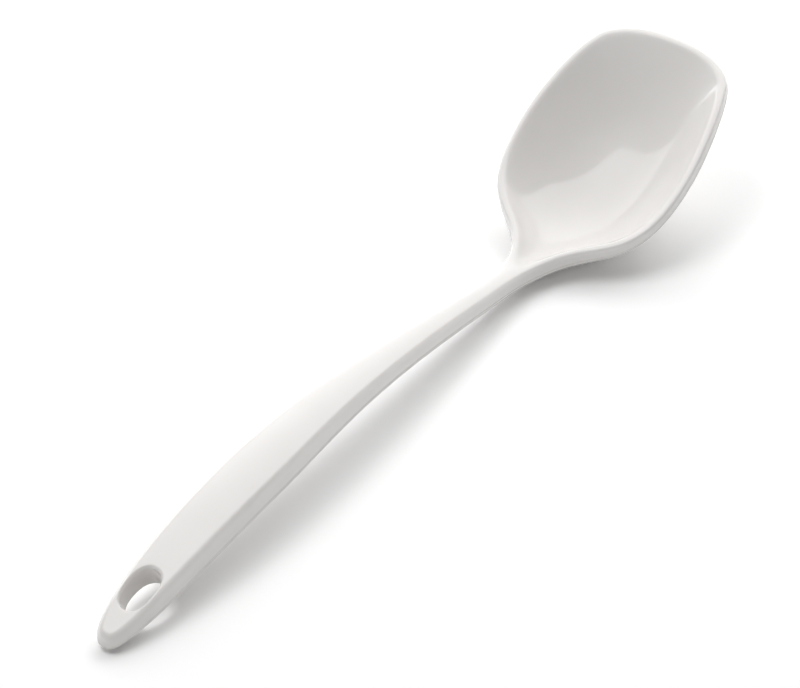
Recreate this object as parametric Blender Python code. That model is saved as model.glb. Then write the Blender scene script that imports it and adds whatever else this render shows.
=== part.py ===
"""Moulded melamine spoon, in metres.

The spoon lies on a table, on the belly of its bowl and on the underside of its handle's end.
+X runs from the handle's end to the front of the bowl, +Y is the spoon's left side and +Z is up.
The origin is on the table, under the middle of the spoon.
Bowl, neck and handle are one compression moulding with no inserts, so the spoon is one solid.
"""

import math

import bmesh
import bpy
import numpy as np
from mathutils import Matrix, Vector
from mathutils.geometry import interpolate_bezier

# Outline seen from above. Widths are those at the parting line, where the spoon is widest.
LENGTH = 0.300
HANDLE_WIDTH = 0.0182
HANDLE_WIDEST_FROM_END = 0.073
NECK_WIDTH = 0.0085
NECK_FROM_FRONT = 0.1045
BOWL_WIDTH = 0.0656
BOWL_WIDEST_FROM_FRONT = 0.043
FRONT_CORNER_WIDTH = 0.0486
FRONT_CORNER_FROM_FRONT = 0.0082

# How far the outline's curve holds its heading on each side of those places
END_BLUNTNESS = 0.0048
GRIP_REACH_TO_END = 0.069
GRIP_REACH_TO_NECK = 0.0098
NECK_REACH_TO_GRIP = 0.027
NECK_REACH_TO_BOWL = 0.0382
BOWL_REACH_TO_NECK = 0.042
BOWL_REACH_TO_CORNER = 0.0116
CORNER_REACH = 0.006
FRONT_REACH = 0.0128
CORNER_HEADING = math.radians(-42)

# Side view of the top edge, in heights above the table before the spoon is settled on it
END_HEIGHT = 0.0080
END_SLOPE = math.radians(13)
CREST_HEIGHT = 0.0240
CREST_FROM_END = 0.0995
HEEL_HEIGHT = 0.0093
HEEL_FROM_FRONT = 0.0886
FRONT_HEIGHT = 0.0460
FRONT_SLOPE = math.radians(9)
END_RISE_REACH = 0.009
CREST_REACH_TO_END = 0.066
CREST_REACH_TO_NECK = 0.0435
HEEL_REACH_TO_CREST = 0.0188
HEEL_REACH_TO_FRONT = 0.0279
FRONT_RISE_REACH = 0.0293
UPRIGHT_END = 0.040

# Section: a flank with a rounded upper edge stands on the parting line, over a shallow underside
FLANK_AT_END = 0.0040
FLANK_AT_HOLE = 0.0061
FLANK_AT_GRIP = 0.0078
FLANK_AT_MIDDLE = 0.0063
FLANK_AT_NECK = 0.0054
RIM_BAND = 0.0036
FLANK_DRAFT = math.radians(4)
EDGE_RADIUS_AT_HOLE = 0.0022
EDGE_RADIUS_AT_GRIP = 0.0022
EDGE_RADIUS_AT_NECK = 0.0018
RIM_EDGE_RADIUS = 0.0009
UNDERSIDE_AT_END = 0.0030
UNDERSIDE_AT_HOLE = 0.0034
UNDERSIDE_AT_GRIP = 0.0030
UNDERSIDE_AT_NECK = 0.0024
GRIP_CROWN = 0.0008
NECK_CROWN = 0.0004

# Bowl. The belly starts further back on the neck than the hollow above it.
BOWL_DEPTH = 0.0158
BOWL_WALL = 0.0030
RIM_WIDTH = 0.0026
RIM_SOFTNESS = 0.0005
HEEL_START_FROM_FRONT = 0.096
BELLY_LEAD = 0.012
REST_FLAT_DEPTH = 0.0003

# How full the curves are: 2 is round, and more is flatter in the middle and steeper at the edge
INNER_FULLNESS = 2.4
OUTER_FULLNESS = 2.1
HANDLE_FULLNESS = 2.5
HEEL_FULLNESS = 2
CORNER_FOLLOWING = 2
BELLY_MERGING = 3

# Hanging hole
HOLE_LENGTH = 0.0150
HOLE_WIDTH = 0.0093
HOLE_FROM_END = 0.0175
HOLE_UPPER_RADIUS = 0.0008
HOLE_LOWER_RADIUS = 0.0016
HOLE_FULLNESS = 2.4
HOLE_CUTTER_REACH = 0.004

# Places along the spoon that follow from the sizes above
END_X = -LENGTH / 2
FRONT_X = LENGTH / 2
GRIP_X = END_X + HANDLE_WIDEST_FROM_END
NECK_X = FRONT_X - NECK_FROM_FRONT
MIDDLE_X = (GRIP_X + NECK_X) / 2
BOWL_X = FRONT_X - BOWL_WIDEST_FROM_FRONT
HOLE_X = END_X + HOLE_FROM_END

# Fineness of the mesh: steps on each stretch of the outline, and rows from its middle to its edge
OUTLINE_STEPS = (13, 10, 19, 7, 9)
UNDERSIDE_ROWS = (0.0, 0.16, 0.32, 0.48, 0.62, 0.75, 0.86, 0.95, 1.0)
EDGE_STEPS = 4
LAND_ROWS = (0.5, 1.0, 1.6)
TOP_ROWS = (0.10, 0.22, 0.36, 0.52, 0.68, 0.84, 1.0)
PROFILE_STEPS = 80
HOLE_STEPS = 36
HOLE_ROUNDING_STEPS = 4
WELD_DISTANCE = 0.000002

# Limits that keep neighbouring rows of the mesh apart where the spoon is narrow
FULLEST_ROUNDING = 0.8
LAND_CROWDING = 4
FRONT_FAN = 0.034

MELAMINE_COLOUR = (0.83, 0.825, 0.81, 1.0)


def clear_scene():
    """Removes what an earlier run or the start-up file left."""
    for old in list(bpy.data.objects):
        bpy.data.objects.remove(old, do_unlink=True)


def smooth_curve(knots, steps):
    """Points along cubic curves; each knot is a place, a heading, and a reach back and ahead."""
    points = []
    for (start, heading, _, ahead), (end, arrival, back, _), count in zip(knots, knots[1:], steps):
        leave = Vector(start) + ahead * Vector((math.cos(heading), math.sin(heading)))
        arrive = Vector(end) - back * Vector((math.cos(arrival), math.sin(arrival)))
        points += interpolate_bezier(Vector(start), leave, arrive, Vector(end), count + 1)[:-1]
    points.append(Vector(knots[-1][0]))
    return np.array([tuple(point)[:2] for point in points])


def outline():
    """The left half of the outline, from the handle's end to the front of the bowl."""
    along_x = 0.0
    knots = (
        ((END_X, 0.0), math.pi / 2, 0.0, END_BLUNTNESS),
        ((GRIP_X, HANDLE_WIDTH / 2), along_x, GRIP_REACH_TO_END, GRIP_REACH_TO_NECK),
        ((NECK_X, NECK_WIDTH / 2), along_x, NECK_REACH_TO_GRIP, NECK_REACH_TO_BOWL),
        ((BOWL_X, BOWL_WIDTH / 2), along_x, BOWL_REACH_TO_NECK, BOWL_REACH_TO_CORNER),
        ((FRONT_X - FRONT_CORNER_FROM_FRONT, FRONT_CORNER_WIDTH / 2), CORNER_HEADING, CORNER_REACH, CORNER_REACH),
        ((FRONT_X, 0.0), -math.pi / 2, FRONT_REACH, 0.0),
    )
    return smooth_curve(knots, OUTLINE_STEPS)


def side_profile():
    """The top edge seen from the side, as places and heights."""
    level = 0.0
    knots = (
        ((END_X, END_HEIGHT), END_SLOPE, 0.0, END_RISE_REACH),
        ((END_X + CREST_FROM_END, CREST_HEIGHT), level, CREST_REACH_TO_END, CREST_REACH_TO_NECK),
        ((FRONT_X - HEEL_FROM_FRONT, HEEL_HEIGHT), level, HEEL_REACH_TO_CREST, HEEL_REACH_TO_FRONT),
        ((FRONT_X, FRONT_HEIGHT), FRONT_SLOPE, FRONT_RISE_REACH, 0.0),
    )
    return smooth_curve(knots, (PROFILE_STEPS,) * 3)


def along(x, places, sizes):
    """A size that changes smoothly between places along the spoon, and holds beyond the outer two."""
    places = np.array(places)
    sizes = np.array(sizes)
    slopes = np.gradient(sizes, places)
    slopes[0] = slopes[-1] = 0.0
    k = np.clip(np.searchsorted(places, x) - 1, 0, len(places) - 2)
    span = places[k + 1] - places[k]
    t = np.clip((x - places[k]) / span, 0.0, 1.0)
    start = sizes[k] * (1 + 2 * t) * (1 - t) ** 2 + slopes[k] * span * t * (1 - t) ** 2
    end = sizes[k + 1] * (3 - 2 * t) * t ** 2 - slopes[k + 1] * span * (1 - t) * t ** 2
    return start + end


def flank_height(x):
    places = (END_X, HOLE_X, GRIP_X, MIDDLE_X, NECK_X, BOWL_X)
    sizes = (FLANK_AT_END, FLANK_AT_HOLE, FLANK_AT_GRIP, FLANK_AT_MIDDLE, FLANK_AT_NECK, RIM_BAND)
    return along(x, places, sizes)


def edge_radius(x):
    places = (HOLE_X, (HOLE_X + GRIP_X) / 2, NECK_X, BOWL_X)
    sizes = (EDGE_RADIUS_AT_HOLE, EDGE_RADIUS_AT_GRIP, EDGE_RADIUS_AT_NECK, RIM_EDGE_RADIUS)
    return along(x, places, sizes)


def underside_depth(x):
    places = (END_X, HOLE_X, GRIP_X, NECK_X, BOWL_X)
    return along(x, places, (UNDERSIDE_AT_END, UNDERSIDE_AT_HOLE, UNDERSIDE_AT_GRIP, UNDERSIDE_AT_NECK, 0.0))


def crown(x):
    places = (HOLE_X, GRIP_X, NECK_X, BOWL_X)
    return along(x, places, (0.0, GRIP_CROWN, NECK_CROWN, 0.0))


class Spoon:
    """The spoon's surfaces, worked out from its outline and its side profile."""

    def __init__(self):
        self.edge = outline()
        headings = np.gradient(self.edge, axis=0)
        headings /= np.linalg.norm(headings, axis=1)[:, None]
        headings[0] = (0.0, 1.0)
        headings[-1] = (0.0, -1.0)
        self.outward = np.column_stack((-headings[:, 1], headings[:, 0]))
        profile = side_profile()
        self.profile_x = profile[:, 0]
        self.profile_z = profile[:, 1]
        self.profile_slope = np.gradient(self.profile_z, self.profile_x)
        self.spine = self.middle_line()
        self.section_sizes()
        self.lip = self.land_line(1.0)

    def middle_line(self):
        """The point on the middle line that each outline point's row of the mesh runs to.

        The rows of the handle run square to its outline, and those of the bowl's front fan out
        from one place.
        """
        x, y = self.edge.T
        square = x.copy()
        handle = (x < NECK_X) & (y > 0)
        square[handle] -= (y * self.outward[:, 0])[handle] / self.outward[handle, 1]
        square[0] = square[1]
        square = np.minimum(square, FRONT_X - FRONT_FAN)
        square = np.maximum.accumulate(square)
        return np.column_stack((square, np.zeros_like(square)))

    def section_sizes(self):
        """Where the rounded upper edge starts and ends, for each outline point."""
        x = self.edge[:, 0]
        half = np.linalg.norm(self.edge - self.spine, axis=1)
        self.flank = flank_height(x)
        self.radius = np.minimum(edge_radius(x), FULLEST_ROUNDING * np.minimum(half, self.flank))
        self.lean_in = math.tan(FLANK_DRAFT) * (self.flank - self.radius)
        room = np.maximum(half - self.lean_in - self.radius, WELD_DISTANCE)
        self.crown_angle = np.arctan(2 * crown(x) / room)
        self.top_start = self.lean_in + self.radius * (1 - np.sin(self.crown_angle))
        self.top_sink = self.radius * (1 - np.cos(self.crown_angle))
        self.rim_top_start = math.tan(FLANK_DRAFT) * (RIM_BAND - RIM_EDGE_RADIUS) + RIM_EDGE_RADIUS
        self.room = half - self.top_start

    def inset(self, distance):
        return self.edge - self.outward * distance[:, None]

    def raised(self, plan, lift):
        """Points over plan places, lifted square to the side profile, upright at the handle's end."""
        x = plan[:, 0]
        height = np.interp(x, self.profile_x, self.profile_z)
        slope = np.interp(x, self.profile_x, self.profile_slope)
        ease = along(x, (END_X, END_X + UPRIGHT_END), (0.0, 1.0))
        lean = np.arctan(slope) * ease
        return np.column_stack((x - lift * np.sin(lean), plan[:, 1], height + lift * np.cos(lean)))

    def nearness(self, plan, ring):
        """How far out each place lies: 0 on the middle line and 1 on the ring.

        Behind the bowl's widest place it is measured straight across the spoon, and in front of
        it outwards from that place, in lines that are round near it and follow the ring further out.
        """
        x, y = plan.T
        ring_x, ring_y = ring.T
        across = y / np.maximum(np.interp(x, ring_x, ring_y), WELD_DISTANCE)
        ahead = x - BOWL_X
        half_width = np.interp(BOWL_X, ring_x, ring_y)
        rounded = np.hypot(ahead / (ring_x[-1] - BOWL_X), y / half_width)
        ring_bearing = np.arctan2(ring_y, ring_x - BOWL_X)[::-1]
        ring_reach = np.hypot(ring_y, ring_x - BOWL_X)[::-1]
        outward = np.hypot(ahead, y) / np.interp(np.arctan2(y, ahead), ring_bearing, ring_reach)
        follow = np.clip(outward, 0.0, 1.0) ** CORNER_FOLLOWING
        return np.where(ahead < 0, across, rounded + (outward - rounded) * follow)

    def dish(self, plan, ring, heel_start, fullness):
        """Share of a dish's depth: 1 in its middle, 0 on the ring and behind the heel's start."""
        out = self.nearness(plan, ring)
        back = np.clip((BOWL_X - plan[:, 0]) / (BOWL_X - heel_start), 0.0, 1.0)
        return (1 - out ** fullness) * (1 - back ** fullness) ** HEEL_FULLNESS

    def hollow(self, plan):
        """Depth of the bowl's inside below the rim, with a softened edge."""
        depth = BOWL_DEPTH * self.dish(plan, self.lip, FRONT_X - HEEL_START_FROM_FRONT, INNER_FULLNESS)
        eased = (depth + RIM_SOFTNESS) ** 2 / (4 * RIM_SOFTNESS)
        return np.where(depth > RIM_SOFTNESS, depth, np.where(depth < -RIM_SOFTNESS, 0.0, eased))

    def underside(self, plan, across):
        """Depth of the underside below the top edge: a shallow round handle that runs into the belly."""
        x = plan[:, 0]
        flank = flank_height(x)
        handle = underside_depth(x) * (1 - across ** HANDLE_FULLNESS)
        belly_start = FRONT_X - HEEL_START_FROM_FRONT - BELLY_LEAD
        belly = (BOWL_DEPTH + BOWL_WALL - flank) * self.dish(plan, self.edge, belly_start, OUTER_FULLNESS)
        merged = handle ** BELLY_MERGING + np.maximum(belly, 0.0) ** BELLY_MERGING
        return flank + merged ** (1 / BELLY_MERGING)

    def rows(self):
        """Rows of points from the middle of the underside, round the edge, to the middle of the top."""
        rows = []
        for across in UNDERSIDE_ROWS:
            plan = self.spine + across * (self.edge - self.spine)
            rows.append(self.raised(plan, -self.underside(plan, across)))
        for step in range(EDGE_STEPS + 1):
            angle = (math.pi / 2 - self.crown_angle) * step / EDGE_STEPS
            plan = self.inset(self.lean_in + self.radius * (1 - np.cos(angle)))
            drop = self.radius * (1 - np.sin(angle))
            rows.append(self.raised(plan, -drop))
        for share in LAND_ROWS:
            last = self.land_line(share)
            rows.append(self.top_row(last))
        for share in TOP_ROWS:
            rows.append(self.top_row(last + share * (self.spine - last)))
        return rows

    def land_line(self, share):
        """The line at a share of the rim's flat land, drawn in where the handle leaves less room."""
        wanted = share * (RIM_WIDTH - self.rim_top_start)
        fitted = wanted * self.room / np.hypot(self.room, LAND_CROWDING * wanted)
        return self.inset(self.top_start + fitted)

    def top_row(self, plan):
        """Points of the top face: crowned on the handle, hollow in the bowl."""
        out = np.linalg.norm(plan - self.spine, axis=1) / self.room
        lift = crown(plan[:, 0]) * (1 - out ** 2) - self.top_sink * out ** 2 - self.hollow(plan)
        return self.raised(plan, lift)


def settle(points):
    """The turn and shift that lay the spoon on the table, on its handle's end and its belly."""
    tilt = 0.0
    for _ in range(8):
        turned = points @ np.array(Matrix.Rotation(tilt, 3, "Y")).T
        handle = turned[turned[:, 0] < 0]
        bowl = turned[turned[:, 0] >= 0]
        low_handle = handle[np.argmin(handle[:, 2])]
        low_bowl = bowl[np.argmin(bowl[:, 2])]
        tilt += math.atan2(low_bowl[2] - low_handle[2], low_bowl[0] - low_handle[0])
    turned = points @ np.array(Matrix.Rotation(tilt, 3, "Y")).T
    middle = (turned[:, 0].min() + turned[:, 0].max()) / 2
    drop = turned[:, 2].min() + REST_FLAT_DEPTH
    return Matrix.Translation((-middle, 0.0, -drop)) @ Matrix.Rotation(tilt, 4, "Y")


def body_mesh(rows, pose):
    """Closed mesh through the rows and their mirror image, cut flat where it meets the table."""
    mesh = bmesh.new()
    grid = []
    for row in rows:
        ring = [tuple(point) for point in row]
        ring += [(x, -y, z) for x, y, z in ring[-2:0:-1]]
        grid.append([mesh.verts.new(point) for point in ring])
    count = len(grid[0])
    for lower, upper in zip(grid, grid[1:]):
        for k in range(count):
            following = (k + 1) % count
            mesh.faces.new((lower[k], lower[following], upper[following], upper[k]))
    bmesh.ops.remove_doubles(mesh, verts=mesh.verts, dist=WELD_DISTANCE)
    bmesh.ops.transform(mesh, matrix=pose, verts=mesh.verts)
    everything = mesh.verts[:] + mesh.edges[:] + mesh.faces[:]
    table = {"plane_co": (0.0, 0.0, 0.0), "plane_no": (0.0, 0.0, -1.0)}
    bmesh.ops.bisect_plane(mesh, geom=everything, clear_outer=True, **table)
    rims = [edge for edge in mesh.edges if edge.is_boundary]
    bmesh.ops.edgeloop_fill(mesh, edges=rims)
    bmesh.ops.recalc_face_normals(mesh, faces=mesh.faces)
    return mesh


def hole_sections(through):
    """Levels below the top face, each with how far the hole has widened, from mouth to mouth."""
    sections = [(HOLE_CUTTER_REACH, HOLE_UPPER_RADIUS)]
    for step in range(HOLE_ROUNDING_STEPS + 1):
        angle = math.pi / 2 * step / HOLE_ROUNDING_STEPS
        level = -HOLE_UPPER_RADIUS * (1 - math.cos(angle))
        sections.append((level, HOLE_UPPER_RADIUS * (1 - math.sin(angle))))
    for step in range(HOLE_ROUNDING_STEPS + 1):
        angle = math.pi / 2 * step / HOLE_ROUNDING_STEPS
        level = HOLE_LOWER_RADIUS * (1 - math.sin(angle)) - through
        sections.append((level, HOLE_LOWER_RADIUS * (1 - math.cos(angle))))
    sections.append((-through - HOLE_CUTTER_REACH, HOLE_LOWER_RADIUS))
    return sections


def oval(growth):
    """Points round the hole's oval, widened by the growth."""
    points = []
    for step in range(HOLE_STEPS):
        angle = 2 * math.pi * step / HOLE_STEPS
        x = math.copysign(abs(math.cos(angle)) ** (2 / HOLE_FULLNESS), math.cos(angle))
        y = math.copysign(abs(math.sin(angle)) ** (2 / HOLE_FULLNESS), math.sin(angle))
        points.append(((HOLE_LENGTH / 2 + growth) * x, (HOLE_WIDTH / 2 + growth) * y))
    return points


def hole_cutter_mesh(spoon, pose):
    """Oval plug that cuts the hanging hole, flared at both mouths to round their edges."""
    through = float(flank_height(HOLE_X) + underside_depth(HOLE_X) + crown(HOLE_X))
    mesh = bmesh.new()
    rings = []
    for level, growth in hole_sections(through):
        rings.append([mesh.verts.new((x, y, level)) for x, y in oval(growth)])
    for upper, lower in zip(rings, rings[1:]):
        for k in range(HOLE_STEPS):
            following = (k + 1) % HOLE_STEPS
            mesh.faces.new((upper[k], lower[k], lower[following], upper[following]))
    mesh.faces.new(rings[0])
    mesh.faces.new(rings[-1])
    bmesh.ops.recalc_face_normals(mesh, faces=mesh.faces)
    place = np.array([[HOLE_X, 0.0]])
    top = spoon.raised(place, crown(place[:, 0]))[0]
    slope = math.atan(float(np.interp(HOLE_X, spoon.profile_x, spoon.profile_slope)))
    placed = pose @ Matrix.Translation(top) @ Matrix.Rotation(-slope, 4, "Y")
    bmesh.ops.transform(mesh, matrix=placed, verts=mesh.verts)
    return mesh


def new_object(name, mesh):
    data = bpy.data.meshes.new(name)
    mesh.to_mesh(data)
    mesh.free()
    data.shade_smooth()
    data.set_sharp_from_angle(angle=math.radians(35))
    thing = bpy.data.objects.new(name, data)
    bpy.context.scene.collection.objects.link(thing)
    return thing


def melamine():
    """White glossy melamine resin."""
    material = bpy.data.materials.new("white_melamine")
    material.use_nodes = True
    shader = material.node_tree.nodes["Principled BSDF"]
    shader.inputs["Base Color"].default_value = MELAMINE_COLOUR
    shader.inputs["Roughness"].default_value = 0.18
    shader.inputs["Metallic"].default_value = 0.0
    return material


def build():
    clear_scene()
    shape = Spoon()
    rows = shape.rows()
    pose = settle(np.vstack(rows))
    spoon = new_object("spoon", body_mesh(rows, pose))
    spoon.data.materials.append(melamine())
    cutter = new_object("hanging_hole_cutter", hole_cutter_mesh(shape, pose))
    cutter.hide_render = True
    cutter.display_type = "WIRE"
    cut = spoon.modifiers.new("hanging_hole", "BOOLEAN")
    cut.operation = "DIFFERENCE"
    cut.solver = "EXACT"
    cut.object = cutter


build()
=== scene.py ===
import math

import bmesh
import bpy
import numpy as np
from mathutils import Matrix, Vector
from mathutils.geometry import interpolate_bezier


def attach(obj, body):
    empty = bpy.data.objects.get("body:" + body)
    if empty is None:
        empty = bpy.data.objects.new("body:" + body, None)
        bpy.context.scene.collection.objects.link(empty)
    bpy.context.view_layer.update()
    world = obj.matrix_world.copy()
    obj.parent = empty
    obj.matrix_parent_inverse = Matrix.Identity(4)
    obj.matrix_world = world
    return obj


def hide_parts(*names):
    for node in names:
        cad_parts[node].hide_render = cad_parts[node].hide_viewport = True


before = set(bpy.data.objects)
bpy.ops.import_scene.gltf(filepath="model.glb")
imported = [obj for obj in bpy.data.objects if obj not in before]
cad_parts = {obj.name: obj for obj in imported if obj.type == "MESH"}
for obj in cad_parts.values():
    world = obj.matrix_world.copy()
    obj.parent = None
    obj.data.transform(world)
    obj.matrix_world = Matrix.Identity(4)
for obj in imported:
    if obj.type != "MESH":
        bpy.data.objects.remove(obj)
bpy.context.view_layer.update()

# The spoon. It is one piece of white melamine resin, pressed hot in a two-part mould, so bowl, neck
# and handle run into each other with no joint, and a fine parting line goes round the lower edge.
# All sizes are in metres. First its outline as seen from above, which is widest at the parting line.
LENGTH = 0.300
HANDLE_WIDTH = 0.0182
HANDLE_WIDEST_FROM_END = 0.073
NECK_WIDTH = 0.0085
NECK_FROM_FRONT = 0.1045
BOWL_WIDTH = 0.0656
BOWL_WIDEST_FROM_FRONT = 0.043
FRONT_CORNER_WIDTH = 0.0486
FRONT_CORNER_FROM_FRONT = 0.0082
FRONT_CORNER_HEADING = math.radians(-42)
END_X = -LENGTH / 2
FRONT_X = LENGTH / 2
GRIP_X = END_X + HANDLE_WIDEST_FROM_END
NECK_X = FRONT_X - NECK_FROM_FRONT
MIDDLE_X = (GRIP_X + NECK_X) / 2
BOWL_X = FRONT_X - BOWL_WIDEST_FROM_FRONT
FRONT_CORNER_X = FRONT_X - FRONT_CORNER_FROM_FRONT

# Each curve runs through a few places. At a place it has a heading, and it holds to that heading
# over a reach back along the curve and a reach ahead.
SIDEWAYS = math.pi / 2
LEVEL = 0.0
END_REACH = 0.0048
GRIP_REACHES = (0.069, 0.0098)
NECK_REACHES = (0.027, 0.0382)
BOWL_REACHES = (0.042, 0.0116)
FRONT_CORNER_REACHES = (0.006, 0.006)
FRONT_REACH = 0.0128
CURVE_STEPS = 600


def smooth_curve(*knots):
    """Points along cubic curves through knots of a place, a heading and a reach back and ahead."""
    points = []
    for (start, heading, (_, ahead)), (end, arrival, (back, _)) in zip(knots, knots[1:]):
        leave = Vector(start) + ahead * Vector((math.cos(heading), math.sin(heading)))
        arrive = Vector(end) - back * Vector((math.cos(arrival), math.sin(arrival)))
        points += interpolate_bezier(Vector(start), leave, arrive, Vector(end), CURVE_STEPS + 1)[:-1]
    points.append(Vector(knots[-1][0]))
    return np.array([tuple(point)[:2] for point in points])


outline_curve = smooth_curve(
    ((END_X, 0.0), SIDEWAYS, (0.0, END_REACH)),
    ((GRIP_X, HANDLE_WIDTH / 2), LEVEL, GRIP_REACHES),
    ((NECK_X, NECK_WIDTH / 2), LEVEL, NECK_REACHES),
    ((BOWL_X, BOWL_WIDTH / 2), LEVEL, BOWL_REACHES),
    ((FRONT_CORNER_X, FRONT_CORNER_WIDTH / 2), FRONT_CORNER_HEADING, FRONT_CORNER_REACHES),
    ((FRONT_X, 0.0), -SIDEWAYS, (FRONT_REACH, 0.0)),
)


def outward_from(curve):
    """The direction square to the outline at each of its points."""
    heading = np.gradient(curve, axis=0)
    heading /= np.linalg.norm(heading, axis=1)[:, None]
    heading[0] = (0.0, 1.0)
    heading[-1] = (0.0, -1.0)
    return np.column_stack((-heading[:, 1], heading[:, 0]))


# The top edge seen from the side: it rises from the handle's end to a long crest, falls to the
# heel of the bowl and climbs to the front lip.
END_HEIGHT = 0.0080
END_SLOPE = math.radians(13)
CREST_HEIGHT = 0.0240
CREST_FROM_END = 0.0995
HEEL_HEIGHT = 0.0093
HEEL_FROM_FRONT = 0.0886
FRONT_HEIGHT = 0.0460
FRONT_SLOPE = math.radians(9)
PROFILE_END_REACH = 0.009
CREST_REACHES = (0.066, 0.0435)
HEEL_REACHES = (0.0188, 0.0279)
PROFILE_FRONT_REACH = 0.0293
UPRIGHT_END = 0.040
profile = smooth_curve(
    ((END_X, END_HEIGHT), END_SLOPE, (0.0, PROFILE_END_REACH)),
    ((END_X + CREST_FROM_END, CREST_HEIGHT), LEVEL, CREST_REACHES),
    ((FRONT_X - HEEL_FROM_FRONT, HEEL_HEIGHT), LEVEL, HEEL_REACHES),
    ((FRONT_X, FRONT_HEIGHT), FRONT_SLOPE, (PROFILE_FRONT_REACH, 0.0)),
)
profile_slope = np.gradient(profile[:, 1], profile[:, 0])


def along(x, places, sizes):
    """A size that changes smoothly between places along the spoon, and holds beyond the outer two."""
    places = np.array(places)
    sizes = np.array(sizes)
    slopes = np.gradient(sizes, places)
    slopes[0] = slopes[-1] = 0.0
    before = np.clip(np.searchsorted(places, x) - 1, 0, len(places) - 2)
    after = before + 1
    span = places[after] - places[before]
    share = np.clip((x - places[before]) / span, 0.0, 1.0)
    leaving = sizes[before] * (1 + 2 * share) + slopes[before] * span * share
    arriving = sizes[after] * (3 - 2 * share) - slopes[after] * span * (1 - share)
    return leaving * (1 - share) ** 2 + arriving * share ** 2


def raised(plan, lift):
    """Points over plan places, lifted square to the side profile, upright at the handle's end."""
    x = plan[..., 0]
    height = np.interp(x, profile[:, 0], profile[:, 1])
    slope = np.interp(x, profile[:, 0], profile_slope)
    lean = np.arctan(slope) * along(x, (END_X, END_X + UPRIGHT_END), (0.0, 1.0))
    return np.stack((x - lift * np.sin(lean), plan[..., 1], height + lift * np.cos(lean)), axis=-1)


# The hanging hole through the handle's end, a long oval pressed square to the top face, with a
# small rounding at each mouth. A fullness of 2 makes an ellipse, and a higher one a squarer oval.
HOLE_LENGTH = 0.0150
HOLE_WIDTH = 0.0093
HOLE_FROM_END = 0.0175
HOLE_UPPER_RADIUS = 0.0008
HOLE_LOWER_RADIUS = 0.0006
HOLE_FULLNESS = 2.4
HOLE_X = END_X + HOLE_FROM_END
hole_slope = math.atan(float(np.interp(HOLE_X, profile[:, 0], profile_slope)))
hole_half = np.array((HOLE_LENGTH / 2 * math.cos(hole_slope), HOLE_WIDTH / 2))

# The section: drafted flanks with a rounded upper edge stand on the parting line, which has a
# small radius and a fine groove over it, and the underside between them is shallow and round. Each
# size is given at a few places along the spoon. The upper edge's rounding takes up at most the
# fullest share of the flank's height or of the half width.
FLANK_DRAFT = math.radians(4)
FLANK_PLACES = (END_X, HOLE_X, GRIP_X, MIDDLE_X, NECK_X, BOWL_X)
FLANK_HEIGHTS = (0.0040, 0.0061, 0.0078, 0.0063, 0.0054, 0.0036)
EDGE_PLACES = (HOLE_X, (HOLE_X + GRIP_X) / 2, NECK_X, BOWL_X)
EDGE_RADII = (0.0022, 0.0022, 0.0018, 0.0009)
UNDERSIDE_PLACES = (END_X, HOLE_X, GRIP_X, NECK_X, BOWL_X)
UNDERSIDE_DEPTHS = (0.0030, 0.0034, 0.0030, 0.0024, 0.0)
CROWN_PLACES = (HOLE_X, GRIP_X, NECK_X, BOWL_X)
CROWN_HEIGHTS = (0.0, 0.0008, 0.0004, 0.0)
PARTING_RADIUS = 0.0005
PARTING_GROOVE_DEPTH = 0.00028
PARTING_GROOVE_HALF_HEIGHT = 0.00014
HANDLE_FULLNESS = 2.5
FULLEST_ROUNDING = 0.8

# The bowl: a deep hollow inside a narrow flat rim, over a rounded belly that starts on the neck.
# The rim's flat is called its land here. Where the top is narrow, the land takes at most a share
# of 1 / LAND_CROWDING of it. The hollow's edge is softened over a depth that grows towards the
# heel, as far as LAND_EASED of the land's width allows. A merging power blends two surfaces, and
# the higher it is, the tighter they meet.
BOWL_DEPTH = 0.0158
BOWL_WALL = 0.0030
RIM_WIDTH = 0.0026
RIM_SOFTNESS = 0.0011
HEEL_SOFTNESS = 0.0032
HEEL_SOFTNESS_REACH = 0.036
LAND_EASED = 0.9
RIM_TOP_START = math.tan(FLANK_DRAFT) * (FLANK_HEIGHTS[-1] - EDGE_RADII[-1]) + EDGE_RADII[-1]
LAND_CROWDING = 4
HEEL_START_FROM_FRONT = 0.096
BELLY_LEAD = 0.012
HEEL_START = FRONT_X - HEEL_START_FROM_FRONT
BELLY_START = HEEL_START - BELLY_LEAD
INNER_FULLNESS = 2.4
OUTER_FULLNESS = 2.1
HEEL_FULLNESS = 2
CORNER_FOLLOWING = 2
BELLY_MERGING = 3

# Each outline point gets a line of the mesh that runs in to the spoon's middle: square to the
# outline on the handle, and fanned out from one place at the front of the bowl.
# The lines stand closer where the outline turns and at the two ends of the hole.
FRONT_FAN = 0.034
WIDEST_SPACING = 0.0011
NARROWEST_SPACING = 0.00014
SPACING_GROWTH = 0.2
STEP_TURN = math.radians(4)
TINY = 1e-9


def middle_places(curve, square):
    """Where the line from each outline point meets the spoon's middle."""
    x, y = curve.T
    middle_x = x.copy()
    on_handle = (x < NECK_X) & (y > 0)
    middle_x[on_handle] -= (y * square[:, 0])[on_handle] / square[on_handle, 1]
    middle_x[0] = middle_x[1]
    return np.maximum.accumulate(np.minimum(middle_x, FRONT_X - FRONT_FAN))


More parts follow.
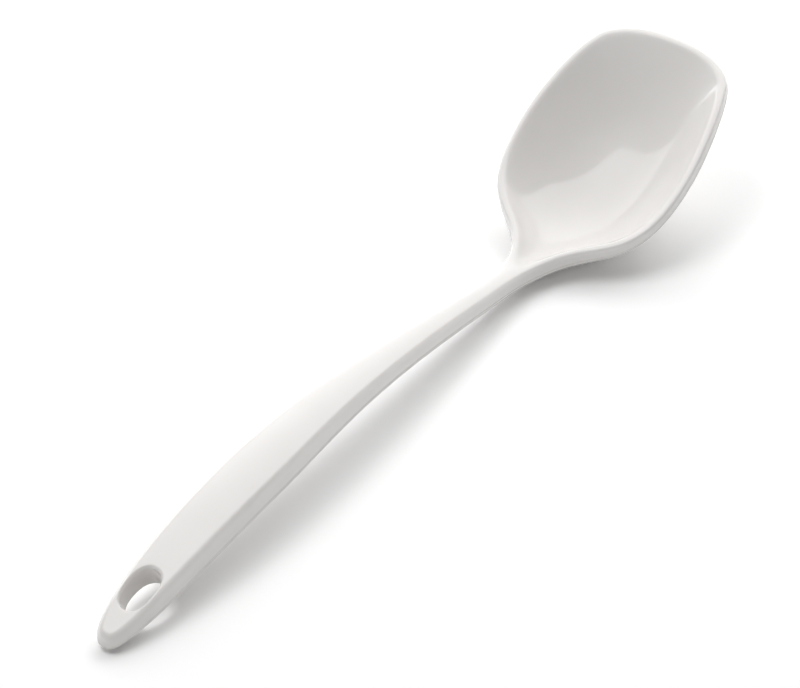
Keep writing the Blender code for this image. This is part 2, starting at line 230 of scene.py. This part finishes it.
def spaced_outline():
    """The outline's points, no further apart than its turns and the hole's ends allow."""
    square = outward_from(outline_curve)
    middle_x = middle_places(outline_curve, square)
    to_end = np.minimum(abs(middle_x - HOLE_X + hole_half[0]), abs(middle_x - HOLE_X - hole_half[0]))
    steps = np.linalg.norm(np.diff(outline_curve, axis=0), axis=1)
    turns = np.linalg.norm(np.diff(square, axis=0), axis=1)
    spacing = np.minimum(WIDEST_SPACING, STEP_TURN * steps / np.maximum(turns, TINY))
    spacing = np.minimum(spacing, NARROWEST_SPACING + SPACING_GROWTH * to_end[1:])
    wanted = np.concatenate(([0.0], np.cumsum(steps / spacing)))
    even = np.linspace(0.0, wanted[-1], int(wanted[-1]) + 1)
    return np.column_stack([np.interp(even, wanted, outline_curve[:, axis]) for axis in (0, 1)])


outline = spaced_outline()
outward = outward_from(outline)
spine_x = middle_places(outline, outward)
spine = np.column_stack((spine_x, np.zeros_like(spine_x)))
to_spine = np.linalg.norm(outline - spine, axis=1)

# The sizes of the section on each line. The top starts where the edge's rounding has turned to the
# slope of the crown, and it sinks a little there, below where an edge turned level would be.
flank = along(outline[:, 0], FLANK_PLACES, FLANK_HEIGHTS)
radius = along(outline[:, 0], EDGE_PLACES, EDGE_RADII)
radius = np.minimum(radius, FULLEST_ROUNDING * np.minimum(to_spine, flank))
lean_in = math.tan(FLANK_DRAFT) * (flank - radius)
crown = along(outline[:, 0], CROWN_PLACES, CROWN_HEIGHTS)
crown_angle = np.arctan(2 * crown / (to_spine - lean_in - radius))
top_start = lean_in + radius * (1 - np.sin(crown_angle))
top_sink = radius * (1 - np.cos(crown_angle))
top_width = to_spine - top_start


def inset(distance):
    """The outline drawn in by a distance."""
    return outline - outward * distance[:, None]


def land_line(share):
    """A line along the rim's land: at its outer edge for a share of 0, and at the lip for 1."""
    wanted = share * (RIM_WIDTH - RIM_TOP_START)
    return inset(top_start + wanted * top_width / np.hypot(top_width, LAND_CROWDING * wanted))


lip = land_line(1.0)
land_width = np.linalg.norm(lip - land_line(0.0), axis=1)


def nearness(plan, ring):
    """How far out each place lies in the bowl: 0 on the middle line and 1 on the ring.

    Ahead of the bowl's widest place it is round in the middle and follows the ring's corners outside.
    """
    x, y = plan[..., 0], plan[..., 1]
    ring_x, ring_y = ring.T
    across = y / np.maximum(np.interp(x, ring_x, ring_y), TINY)
    ahead = x - BOWL_X
    half_width = np.interp(BOWL_X, ring_x, ring_y)
    rounded = np.hypot(ahead / (ring_x[-1] - BOWL_X), y / half_width)
    ring_bearing = np.arctan2(ring_y, ring_x - BOWL_X)[::-1]
    ring_reach = np.hypot(ring_y, ring_x - BOWL_X)[::-1]
    outer = np.hypot(ahead, y) / np.interp(np.arctan2(y, ahead), ring_bearing, ring_reach)
    follow = np.clip(outer, 0.0, 1.0) ** CORNER_FOLLOWING
    return np.where(ahead < 0, across, rounded + (outer - rounded) * follow)


def dish(plan, ring, heel_start, fullness):
    """Share of a dish's depth: 1 in its middle, 0 on the ring and behind the heel's start."""
    out = nearness(plan, ring)
    back = np.clip((BOWL_X - plan[..., 0]) / (BOWL_X - heel_start), 0.0, 1.0)
    return (1 - out ** fullness) * (1 - back ** fullness) ** HEEL_FULLNESS


def hollow(plan):
    """Depth of the bowl's inside below the rim, with an edge that is softest at the heel."""
    depth = BOWL_DEPTH * dish(plan, lip, HEEL_START, INNER_FULLNESS)
    behind = np.minimum(plan[..., 0], BOWL_X)
    middle = np.stack((behind, np.zeros_like(behind)), axis=-1)
    middle_depth = BOWL_DEPTH * dish(middle, lip, HEEL_START, INNER_FULLNESS)
    steepness = INNER_FULLNESS * middle_depth / np.maximum(np.interp(behind, *lip.T), TINY)
    softness = along(behind, (BOWL_X - HEEL_SOFTNESS_REACH, BOWL_X), (HEEL_SOFTNESS, RIM_SOFTNESS))
    land_allows = LAND_EASED * steepness * np.interp(behind, lip[:, 0], land_width)
    softness = np.minimum(softness, land_allows) + TINY
    eased = (depth + softness) ** 2 / (4 * softness)
    return np.where(depth > softness, depth, np.where(depth < -softness, 0.0, eased))


def underside(plan, across):
    """Depth of the underside below the top edge: a shallow round handle that runs into the belly."""
    x = plan[..., 0]
    side = along(x, FLANK_PLACES, FLANK_HEIGHTS)
    handle = along(x, UNDERSIDE_PLACES, UNDERSIDE_DEPTHS) * (1 - across ** HANDLE_FULLNESS)
    belly = (BOWL_DEPTH + BOWL_WALL - side) * dish(plan, outline, BELLY_START, OUTER_FULLNESS)
    merged = handle ** BELLY_MERGING + np.maximum(belly, 0.0) ** BELLY_MERGING
    return side + merged ** (1 / BELLY_MERGING)


# The hole's two ovals in plan. The hole leans with the top face, so the lower one lies ahead, and
# the underside's lines shift with it, less and less away from the hole.
SHIFT_FADE = 0.004
LOWER_OVAL_TRIES = 8


def lower_oval_middle():
    """Where the lower oval's middle lies in plan, found by moving it until the wall is square."""
    upper = raised(np.array((HOLE_X, 0.0)), 0.0)
    middle_x = HOLE_X
    for _ in range(LOWER_OVAL_TRIES):
        plan = np.array((middle_x, 0.0))
        lower = raised(plan, -underside(plan, 0.0))
        wall = (upper[2] - lower[2]) / math.cos(hole_slope)
        middle_x += upper[0] + wall * math.sin(hole_slope) - lower[0]
    return middle_x


def oval_places(middle_x, angle):
    """Places round the left half of one of the hole's ovals."""
    x = np.sign(np.cos(angle)) * np.abs(np.cos(angle)) ** (2 / HOLE_FULLNESS)
    y = np.abs(np.sin(angle)) ** (2 / HOLE_FULLNESS)
    return np.stack((middle_x + hole_half[0] * x, hole_half[1] * y), axis=-1)


def from_oval(plan, middle_x):
    """Distance of places outside one of the hole's ovals, which is about right near it."""
    across = np.abs(plan - (middle_x, 0)) / hole_half
    size = np.maximum((across ** HOLE_FULLNESS).sum(axis=-1) ** (1 / HOLE_FULLNESS), TINY)
    steep = np.linalg.norm((across / size[..., None]) ** (HOLE_FULLNESS - 1) / hole_half, axis=-1)
    return np.maximum(size - 1, 0.0) / steep


def mouth(distance, mouth_radius):
    """How far a rounded mouth drops at a distance from the hole's wall."""
    return mouth_radius * np.clip(1 - distance / mouth_radius, 0.0, 1.0) ** 2


# The lines beside the hole end on its ovals and not on the spoon's middle.
lower_x = lower_oval_middle()
hole_first = int(np.searchsorted(spine_x, HOLE_X - hole_half[0]))
hole_last = int(np.searchsorted(spine_x, HOLE_X + hole_half[0]))
hole_lines = np.arange(hole_first, hole_last + 1)
hole_turn = math.pi * (hole_last - hole_lines) / (hole_last - hole_first)
top_inner = spine.copy()
top_inner[hole_lines] = oval_places(HOLE_X, hole_turn)
low_inner = spine.copy()
past_hole = np.clip(abs(spine_x - HOLE_X) - hole_half[0], 0.0, SHIFT_FADE)
low_inner[:, 0] += (lower_x - HOLE_X) * (1 - past_hole / SHIFT_FADE)
low_inner[hole_lines] = oval_places(lower_x, hole_turn)
for inner in (top_inner, low_inner):
    inner[[hole_first, hole_last], 1] = 0.0
holed = np.zeros(len(outline), bool)
holed[hole_lines] = True

# Rows of the moulding's surface, from the middle of the top out over the edge, down the flank,
# round the parting line and in to the middle of the underside. A density over 1 draws the rows
# together towards the bowl's lip or the underside's middle. Beside the hole, the edge's rounding
# takes at most a share of the way in.
TOP_STEPS = 36
LAND_STEPS = 5
EDGE_STEPS = 9
FLANK_STEPS = 5
PARTING_STEPS = 5
UNDERSIDE_STEPS = 30
WALL_STEPS = 9
LIP_DENSITY = 1.5
UNDERSIDE_DENSITY = 1.4
EDGE_SHARE_AT_HOLE = 0.6
MOUTH_MERGING = 3


def top_place(plan, share_out=None):
    """Points of the top surface over plan places: edge rounding, crown, bowl and hole's mouth."""
    inward = ((outline - plan) * outward).sum(axis=-1)
    out = 1 - (inward - top_start) / top_width if share_out is None else share_out
    rounding = inward < top_start
    turned = np.clip(radius + lean_in - inward, 0.0, radius)
    drop = np.where(rounding, radius - np.sqrt(radius ** 2 - turned ** 2), top_sink * out ** 2)
    rise = np.where(rounding, 0.0, along(plan[:, 0], CROWN_PLACES, CROWN_HEIGHTS) * (1 - out ** 2))
    bite = mouth(from_oval(plan, HOLE_X), HOLE_UPPER_RADIUS)
    merged = (drop ** MOUTH_MERGING + bite ** MOUTH_MERGING) ** (1 / MOUTH_MERGING)
    inside = np.where(rounding, 0.0, hollow(plan))
    return raised(plan, rise - merged - inside)


# Between the grip and the neck, the rows change from the handle's spacing to the bowl's.
edge_foot = inset(lean_in)
to_inner = np.linalg.norm(top_inner - edge_foot, axis=1)
edge_reach = np.minimum(top_start - lean_in, EDGE_SHARE_AT_HOLE * to_inner)
edge_turn = np.where(holed, math.pi / 2, math.pi / 2 - crown_angle)
bowl_share = along(outline[:, 0], (GRIP_X, NECK_X), (0.0, 1.0))


def on_line(reach):
    """Places at a reach from the foot of the edge's rounding along each line of the mesh."""
    return edge_foot + (top_inner - edge_foot) * (reach / to_inner)[:, None]


def handle_reach(step):
    """How far in the rows of the handle's top lie: closer together towards the middle or the hole."""
    toward_edge = step / (TOP_STEPS + LAND_STEPS)
    return to_inner - (to_inner - edge_reach) * (1 - math.cos(math.pi / 2 * toward_edge))


def bowl_reach(step):
    """How far in the rows of the bowl lie: across its inside, then over the rim's land."""
    if step >= TOP_STEPS:
        places = land_line(1 - (step - TOP_STEPS) / LAND_STEPS)
    else:
        places = lip + (spine - lip) * (1 - step / TOP_STEPS) ** LIP_DENSITY
    return np.linalg.norm(places - edge_foot, axis=1)


rows = []
for step in range(TOP_STEPS + LAND_STEPS):
    plan = on_line(handle_reach(step) + (bowl_reach(step) - handle_reach(step)) * bowl_share)
    share_out = np.linalg.norm(plan - spine, axis=1) / top_width
    rows.append(np.where(holed[:, None], top_place(plan), top_place(plan, share_out)))
for step in range(EDGE_STEPS, -1, -1):
    turned = step / EDGE_STEPS * edge_turn
    rows.append(top_place(on_line(edge_reach * (1 - np.cos(turned)) / (1 - np.cos(edge_turn)))))

# The flank goes straight down to the parting line's groove, of three rows.
groove_top = PARTING_RADIUS + 2 * PARTING_GROOVE_HALF_HEIGHT
for step in range(1, FLANK_STEPS):
    down = step / FLANK_STEPS * (flank - groove_top - radius)
    rows.append(raised(inset(lean_in - down * math.tan(FLANK_DRAFT)), -(radius + down)))
for lift, depth in ((2, 0.0), (1, PARTING_GROOVE_DEPTH), (0, 0.0)):
    height = PARTING_RADIUS + lift * PARTING_GROOVE_HALF_HEIGHT
    drawn_in = np.full_like(flank, height * math.tan(FLANK_DRAFT) + depth)
    rows.append(raised(inset(drawn_in), height - flank))


def low_place(share):
    """Points of the underside, at a share of the way from its inner end to the outline."""
    plan = low_inner + (outline - low_inner) * share[:, None]
    across = np.where(holed, plan[:, 1] / np.maximum(outline[:, 1], TINY), share)
    rise = mouth(from_oval(plan, lower_x), HOLE_LOWER_RADIUS)
    return raised(plan, rise - underside(plan, np.clip(across, 0.0, 1.0)))


# The parting line's small radius bends from the groove's lower edge round into the underside.
above = rows[-1]
corner = raised(outline, -flank)
below_share = 1 - PARTING_RADIUS / np.linalg.norm(low_inner - outline, axis=1)
below = low_place(below_share)
for step in range(1, PARTING_STEPS):
    share = step / PARTING_STEPS
    rows.append(above * (1 - share) ** 2 + corner * 2 * share * (1 - share) + below * share ** 2)
for step in range(UNDERSIDE_STEPS, -1, -1):
    rows.append(low_place(below_share * (step / UNDERSIDE_STEPS) ** UNDERSIDE_DENSITY))

# The spoon lies tilted on its handle's end and its belly, which the table flattens a little.
REST_TILT = math.radians(-0.783)
REST_DROP = 0.0003
lie = np.array(Matrix.Rotation(REST_TILT, 3, "Y"))


def laid(points):
    """Points of the spoon as it lies on the table."""
    points = points @ lie.T - (0, 0, REST_DROP)
    points[:, 2] = np.maximum(points[:, 2], 0.0)
    return points


rows = [laid(row) for row in rows]
wall_rows = [rows[0] + (rows[-1] - rows[0]) * step / WALL_STEPS for step in range(1, WALL_STEPS)]
MERGE_DISTANCE = 2e-7


def skin_of_faces():
    """A mesh through the rows, the hole's wall and their mirror images, with its seams still open."""
    count = len(outline)
    left = np.vstack(rows + wall_rows)
    faces = []

    def band(upper, lower, first, last):
        """Faces between two rows of the left half, and their mirror images."""
        for line in range(first, last):
            corners = (upper * count + line, lower * count + line)
            corners += (lower * count + line + 1, upper * count + line + 1)
            faces.append(corners)
            faces.append(tuple(len(left) + corner for corner in reversed(corners)))

    for row in range(len(rows) - 1):
        band(row, row + 1, 0, count - 1)
    wall_levels = [0, *range(len(rows), len(rows) + len(wall_rows)), len(rows) - 1]
    for upper, lower in zip(wall_levels, wall_levels[1:]):
        band(lower, upper, hole_first, hole_last)
    mesh = bpy.data.meshes.new("spoon_moulding")
    mesh.from_pydata(np.vstack((left, left * (1, -1, 1))).tolist(), [], faces)
    return mesh


def close_up(mesh):
    """Joins the mesh's seams, so that it is one closed skin with its faces turned outwards."""
    skin = bmesh.new()
    skin.from_mesh(mesh)
    bmesh.ops.remove_doubles(skin, verts=skin.verts, dist=MERGE_DISTANCE)
    loose = [corner for corner in skin.verts if not corner.link_faces]
    bmesh.ops.delete(skin, geom=loose, context="VERTS")
    bmesh.ops.dissolve_degenerate(skin, edges=skin.edges, dist=MERGE_DISTANCE / 2)
    bmesh.ops.recalc_face_normals(skin, faces=skin.faces)
    skin.to_mesh(mesh)
    skin.free()


spoon_mesh = skin_of_faces()
close_up(spoon_mesh)
spoon_mesh.shade_smooth()
spoon = bpy.data.objects.new("spoon_moulding", spoon_mesh)
bpy.context.scene.collection.objects.link(spoon)

# Melamine resin is a slightly warm white all through and comes glossy from the mould. Its gloss
# wavers a little, use leaves hair-fine scratches along the spoon, and the table scuffs the belly.
MELAMINE_LIGHT = (0.882, 0.861, 0.842, 1.0)
MELAMINE_DARK = (0.864, 0.842, 0.821, 1.0)
MELAMINE_IOR = 1.68
CLOUDS_PER_METRE = 45
CLOUD_DETAIL = 3.0
CLOUD_RANGE = (0.3, 0.7)
GLOSS_ROUGHNESS = (0.08, 0.12)
RIPPLES_PER_METRE = 380
RIPPLE_HEIGHT = 0.000003
SCRATCHES_PER_METRE = (30, 1300, 1300)
SCRATCH_RANGE = (0.62, 0.72)
SCRATCH_ROUGHNESS = 0.07
SCUFF_HEIGHTS = (0.0016, 0.0)
SCUFF_ROUGHNESS = 0.2


def fill(tree, socket, source):
    """Gives a socket an output to read or a constant to hold."""
    if isinstance(source, bpy.types.NodeSocket):
        tree.links.new(source, socket)
    else:
        socket.default_value = source


def linked(tree, kind, **sources):
    """A new node with its named sockets filled."""
    node = tree.nodes.new(kind)
    for name, source in sources.items():
        fill(tree, node.inputs[name.replace("_", " ")], source)
    return node


def worked_out(tree, operation, *sources):
    """What a new math node makes of its sources."""
    node = tree.nodes.new("ShaderNodeMath")
    node.operation = operation
    for socket, source in zip(node.inputs, sources):
        fill(tree, socket, source)
    return node.outputs["Value"]


def spread(tree, value, start, end, low=0.0, high=1.0):
    """A value's range from start to end, stretched to run from low to high."""
    node = linked(tree, "ShaderNodeMapRange", Value=value, From_Min=start, From_Max=end)
    fill(tree, node.inputs["To Min"], low)
    fill(tree, node.inputs["To Max"], high)
    return node.outputs["Result"]


def ramp(tree, share, dark, light):
    """A colour between a dark and a light one."""
    node = linked(tree, "ShaderNodeValToRGB", Fac=share)
    node.color_ramp.elements[0].color = dark
    node.color_ramp.elements[1].color = light
    return node.outputs["Color"]


def noise(tree, place, scale=1.0, **details):
    """A fine uneven pattern over the places."""
    return linked(tree, "ShaderNodeTexNoise", Vector=place, Scale=scale, **details).outputs["Fac"]


def melamine_material():
    """Glossy melamine resin with faint clouds, hair-fine scratches and a scuffed underside."""
    material = bpy.data.materials.new("glossy_white_melamine")
    material.use_nodes = True
    tree = material.node_tree
    shader = tree.nodes["Principled BSDF"]
    shader.inputs["IOR"].default_value = MELAMINE_IOR
    place = tree.nodes.new("ShaderNodeTexCoord").outputs["Object"]

    clouds = noise(tree, place, CLOUDS_PER_METRE, Detail=CLOUD_DETAIL)
    tone = ramp(tree, spread(tree, clouds, *CLOUD_RANGE), MELAMINE_DARK, MELAMINE_LIGHT)
    tree.links.new(tone, shader.inputs["Base Color"])

    stretched = linked(tree, "ShaderNodeMapping", Vector=place, Scale=SCRATCHES_PER_METRE)
    scratched = spread(tree, noise(tree, stretched.outputs["Vector"]), *SCRATCH_RANGE)
    height = linked(tree, "ShaderNodeSeparateXYZ", Vector=place).outputs["Z"]
    scuffed = spread(tree, height, *SCUFF_HEIGHTS)
    roughness = spread(tree, clouds, *CLOUD_RANGE, *GLOSS_ROUGHNESS)
    roughness = worked_out(tree, "MULTIPLY_ADD", scratched, SCRATCH_ROUGHNESS, roughness)
    roughness = worked_out(tree, "MULTIPLY_ADD", scuffed, SCUFF_ROUGHNESS, roughness)
    tree.links.new(roughness, shader.inputs["Roughness"])

    ripples = noise(tree, place, RIPPLES_PER_METRE)
    relief = linked(tree, "ShaderNodeBump", Height=ripples, Distance=RIPPLE_HEIGHT)
    tree.links.new(relief.outputs["Normal"], shader.inputs["Normal"])
    return material


spoon_mesh.materials.append(melamine_material())
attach(spoon, "root")
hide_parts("spoon")

# The table is a wide sheet of matt white board with a fine grain. The camera and the spoon's gloss
# see it a little over white, so that its lit part ends fully white in the picture. It throws less
# light than that up at the spoon, so that the spoon's shaded sides keep their tone.
TABLE_SIZE = 6.0
TABLE_WHITE = (1.13, 1.13, 1.13, 1.0)
TABLE_SHADE = (1.11, 1.11, 1.11, 1.0)
TABLE_BOUNCE = (0.76, 0.76, 0.76, 1.0)
GRAIN_PER_METRE = 900


def board_material():
    """Matt white board, one shade for the rays that see it and another for the light it throws."""
    material = bpy.data.materials.new("white_board")
    material.use_nodes = True
    tree = material.node_tree
    tree.nodes.remove(tree.nodes["Principled BSDF"])
    place = tree.nodes.new("ShaderNodeTexCoord").outputs["Object"]
    tone = ramp(tree, noise(tree, place, GRAIN_PER_METRE), TABLE_SHADE, TABLE_WHITE)
    seen = linked(tree, "ShaderNodeBsdfDiffuse", Color=tone)
    bounce = linked(tree, "ShaderNodeBsdfDiffuse", Color=TABLE_BOUNCE)
    ray = tree.nodes.new("ShaderNodeLightPath").outputs
    seeing = worked_out(tree, "MAXIMUM", ray["Is Camera Ray"], ray["Is Glossy Ray"])
    seeing = worked_out(tree, "MAXIMUM", seeing, ray["Is Transmission Ray"])
    mix = tree.nodes.new("ShaderNodeMixShader")
    for socket, source in zip(mix.inputs, (seeing, bounce.outputs["BSDF"], seen.outputs["BSDF"])):
        tree.links.new(source, socket)
    tree.links.new(mix.outputs["Shader"], tree.nodes["Material Output"].inputs["Surface"])
    return material


table_mesh = bpy.data.meshes.new("table")
table_edge = TABLE_SIZE / 2
table_turns = ((-1, -1), (1, -1), (1, 1), (-1, 1))
table_corners = [(x * table_edge, y * table_edge, 0) for x, y in table_turns]
table_mesh.from_pydata(table_corners, [], [(0, 1, 2, 3)])
table_mesh.materials.append(board_material())
table = bpy.data.objects.new("table", table_mesh)
bpy.context.scene.collection.objects.link(table)

# The room round the table is dark, with pale walls low down near the table. The change lies
# between two heights, each given as the sine of its angle above the table.
ROOM_LOW = 1.35
ROOM_HIGH = 0.11
ROOM_CHANGE = (math.sin(math.radians(8)), math.sin(math.radians(16)))
world = bpy.data.worlds.new("room")
bpy.context.scene.world = world
world.use_nodes = True
tree = world.node_tree
background = tree.nodes["Background"]
background.inputs["Color"].default_value = (1.0, 1.0, 1.0, 1.0)
direction = tree.nodes.new("ShaderNodeTexCoord").outputs["Generated"]
upward = linked(tree, "ShaderNodeSeparateXYZ", Vector=direction).outputs["Z"]
strength = spread(tree, upward, *ROOM_CHANGE, ROOM_LOW, ROOM_HIGH)
tree.links.new(strength, background.inputs["Strength"])

# A big soft panel leans over the table from beyond the bowl, facing the camera. It is two lamps,
# one for its light and one just behind it for its sheen, which draws the bright pool in the bowl.
# Small lamps beyond the bowl, to its right and to its left throw the deeper shadows, and the gloss
# doesn't show them, as if they stood behind a polarising sheet. The lit place lies in the bowl. A
# small lamp's values are its azimuth and elevation from there, and its brightness.
LIT_PLACE = Vector((0.105, 0.0, 0.02))
LAMP_DISTANCE = 1.2
PANEL_AZIMUTH = math.radians(36.5)
PANEL_ELEVATION = math.radians(25.7)
PANEL_HALF_WIDTH = 1.57
PANEL_BELOW = 0.504
PANEL_ABOVE = 3.0
PANEL_BRIGHTNESS = 0.9
SHEEN_GAP = 0.005
SHEEN_BRIGHTNESS = 1.35
SPOT_REACHES = (0.3, 0.3, 0.3)
SPOTS = {
    "right_lamp": (math.radians(-10), math.radians(50), 2.2),
    "back_lamp": (math.radians(36.5), math.radians(45), 2.0),
    "left_lamp": (math.radians(135), math.radians(63), 3.7),
}
up = Vector((0.0, 0.0, 1.0))


def soft_lamp(name, azimuth, elevation, half_width, below, above, brightness, distance=LAMP_DISTANCE):
    """A flat lamp, square to the line from the lit place to it.

    It reaches its half width to both sides of that line, and other distances below and above it.
    """
    facing = Vector((math.cos(azimuth), math.sin(azimuth), 0.0))
    toward = facing * math.cos(elevation) + up * math.sin(elevation)
    lamp_up = up * math.cos(elevation) - facing * math.sin(elevation)
    light = bpy.data.lights.new(name, "AREA")
    light.shape = "RECTANGLE"
    light.size = 2 * half_width
    light.size_y = below + above
    light.energy = brightness * math.pi * light.size * light.size_y
    lamp = bpy.data.objects.new(name, light)
    lamp.location = LIT_PLACE + toward * distance + lamp_up * (above - below) / 2
    lamp.rotation_euler = toward.to_track_quat("Z", "Y").to_euler()
    lamp.visible_camera = False
    bpy.context.scene.collection.objects.link(lamp)
    return lamp


panel_place = (PANEL_AZIMUTH, PANEL_ELEVATION, PANEL_HALF_WIDTH, PANEL_BELOW, PANEL_ABOVE)
panel = soft_lamp("panel", *panel_place, PANEL_BRIGHTNESS)
panel.visible_glossy = False
panel_sheen = soft_lamp("panel_sheen", *panel_place, SHEEN_BRIGHTNESS, LAMP_DISTANCE + SHEEN_GAP)
panel_sheen.visible_diffuse = False
for name, (azimuth, elevation, brightness) in SPOTS.items():
    spot = soft_lamp(name, azimuth, elevation, *SPOT_REACHES, brightness)
    spot.visible_glossy = False

# The camera looks down across the spoon from its right, past the handle's end, through a long lens.
CAMERA_ELEVATION = math.radians(39.6)
CAMERA_HEADING = math.radians(53.52)
CAMERA_DISTANCE = 1.0
CAMERA_TARGET = Vector((0.0111, 0.0137, 0.0))
FOCAL_PIXELS = 3133
PICTURE_WIDTH = 800
camera_data = bpy.data.cameras.new("camera")
camera_data.lens = FOCAL_PIXELS * camera_data.sensor_width / PICTURE_WIDTH
camera = bpy.data.objects.new("camera", camera_data)
bpy.context.scene.collection.objects.link(camera)
level = Vector((math.sin(CAMERA_HEADING), math.cos(CAMERA_HEADING), 0.0))
looking = level * math.cos(CAMERA_ELEVATION) - up * math.sin(CAMERA_ELEVATION)
camera.location = CAMERA_TARGET - CAMERA_DISTANCE * looking
camera.rotation_euler = looking.to_track_quat("-Z", "Y").to_euler()
bpy.context.scene.camera = camera
bpy.context.scene.view_settings.view_transform = "Standard"
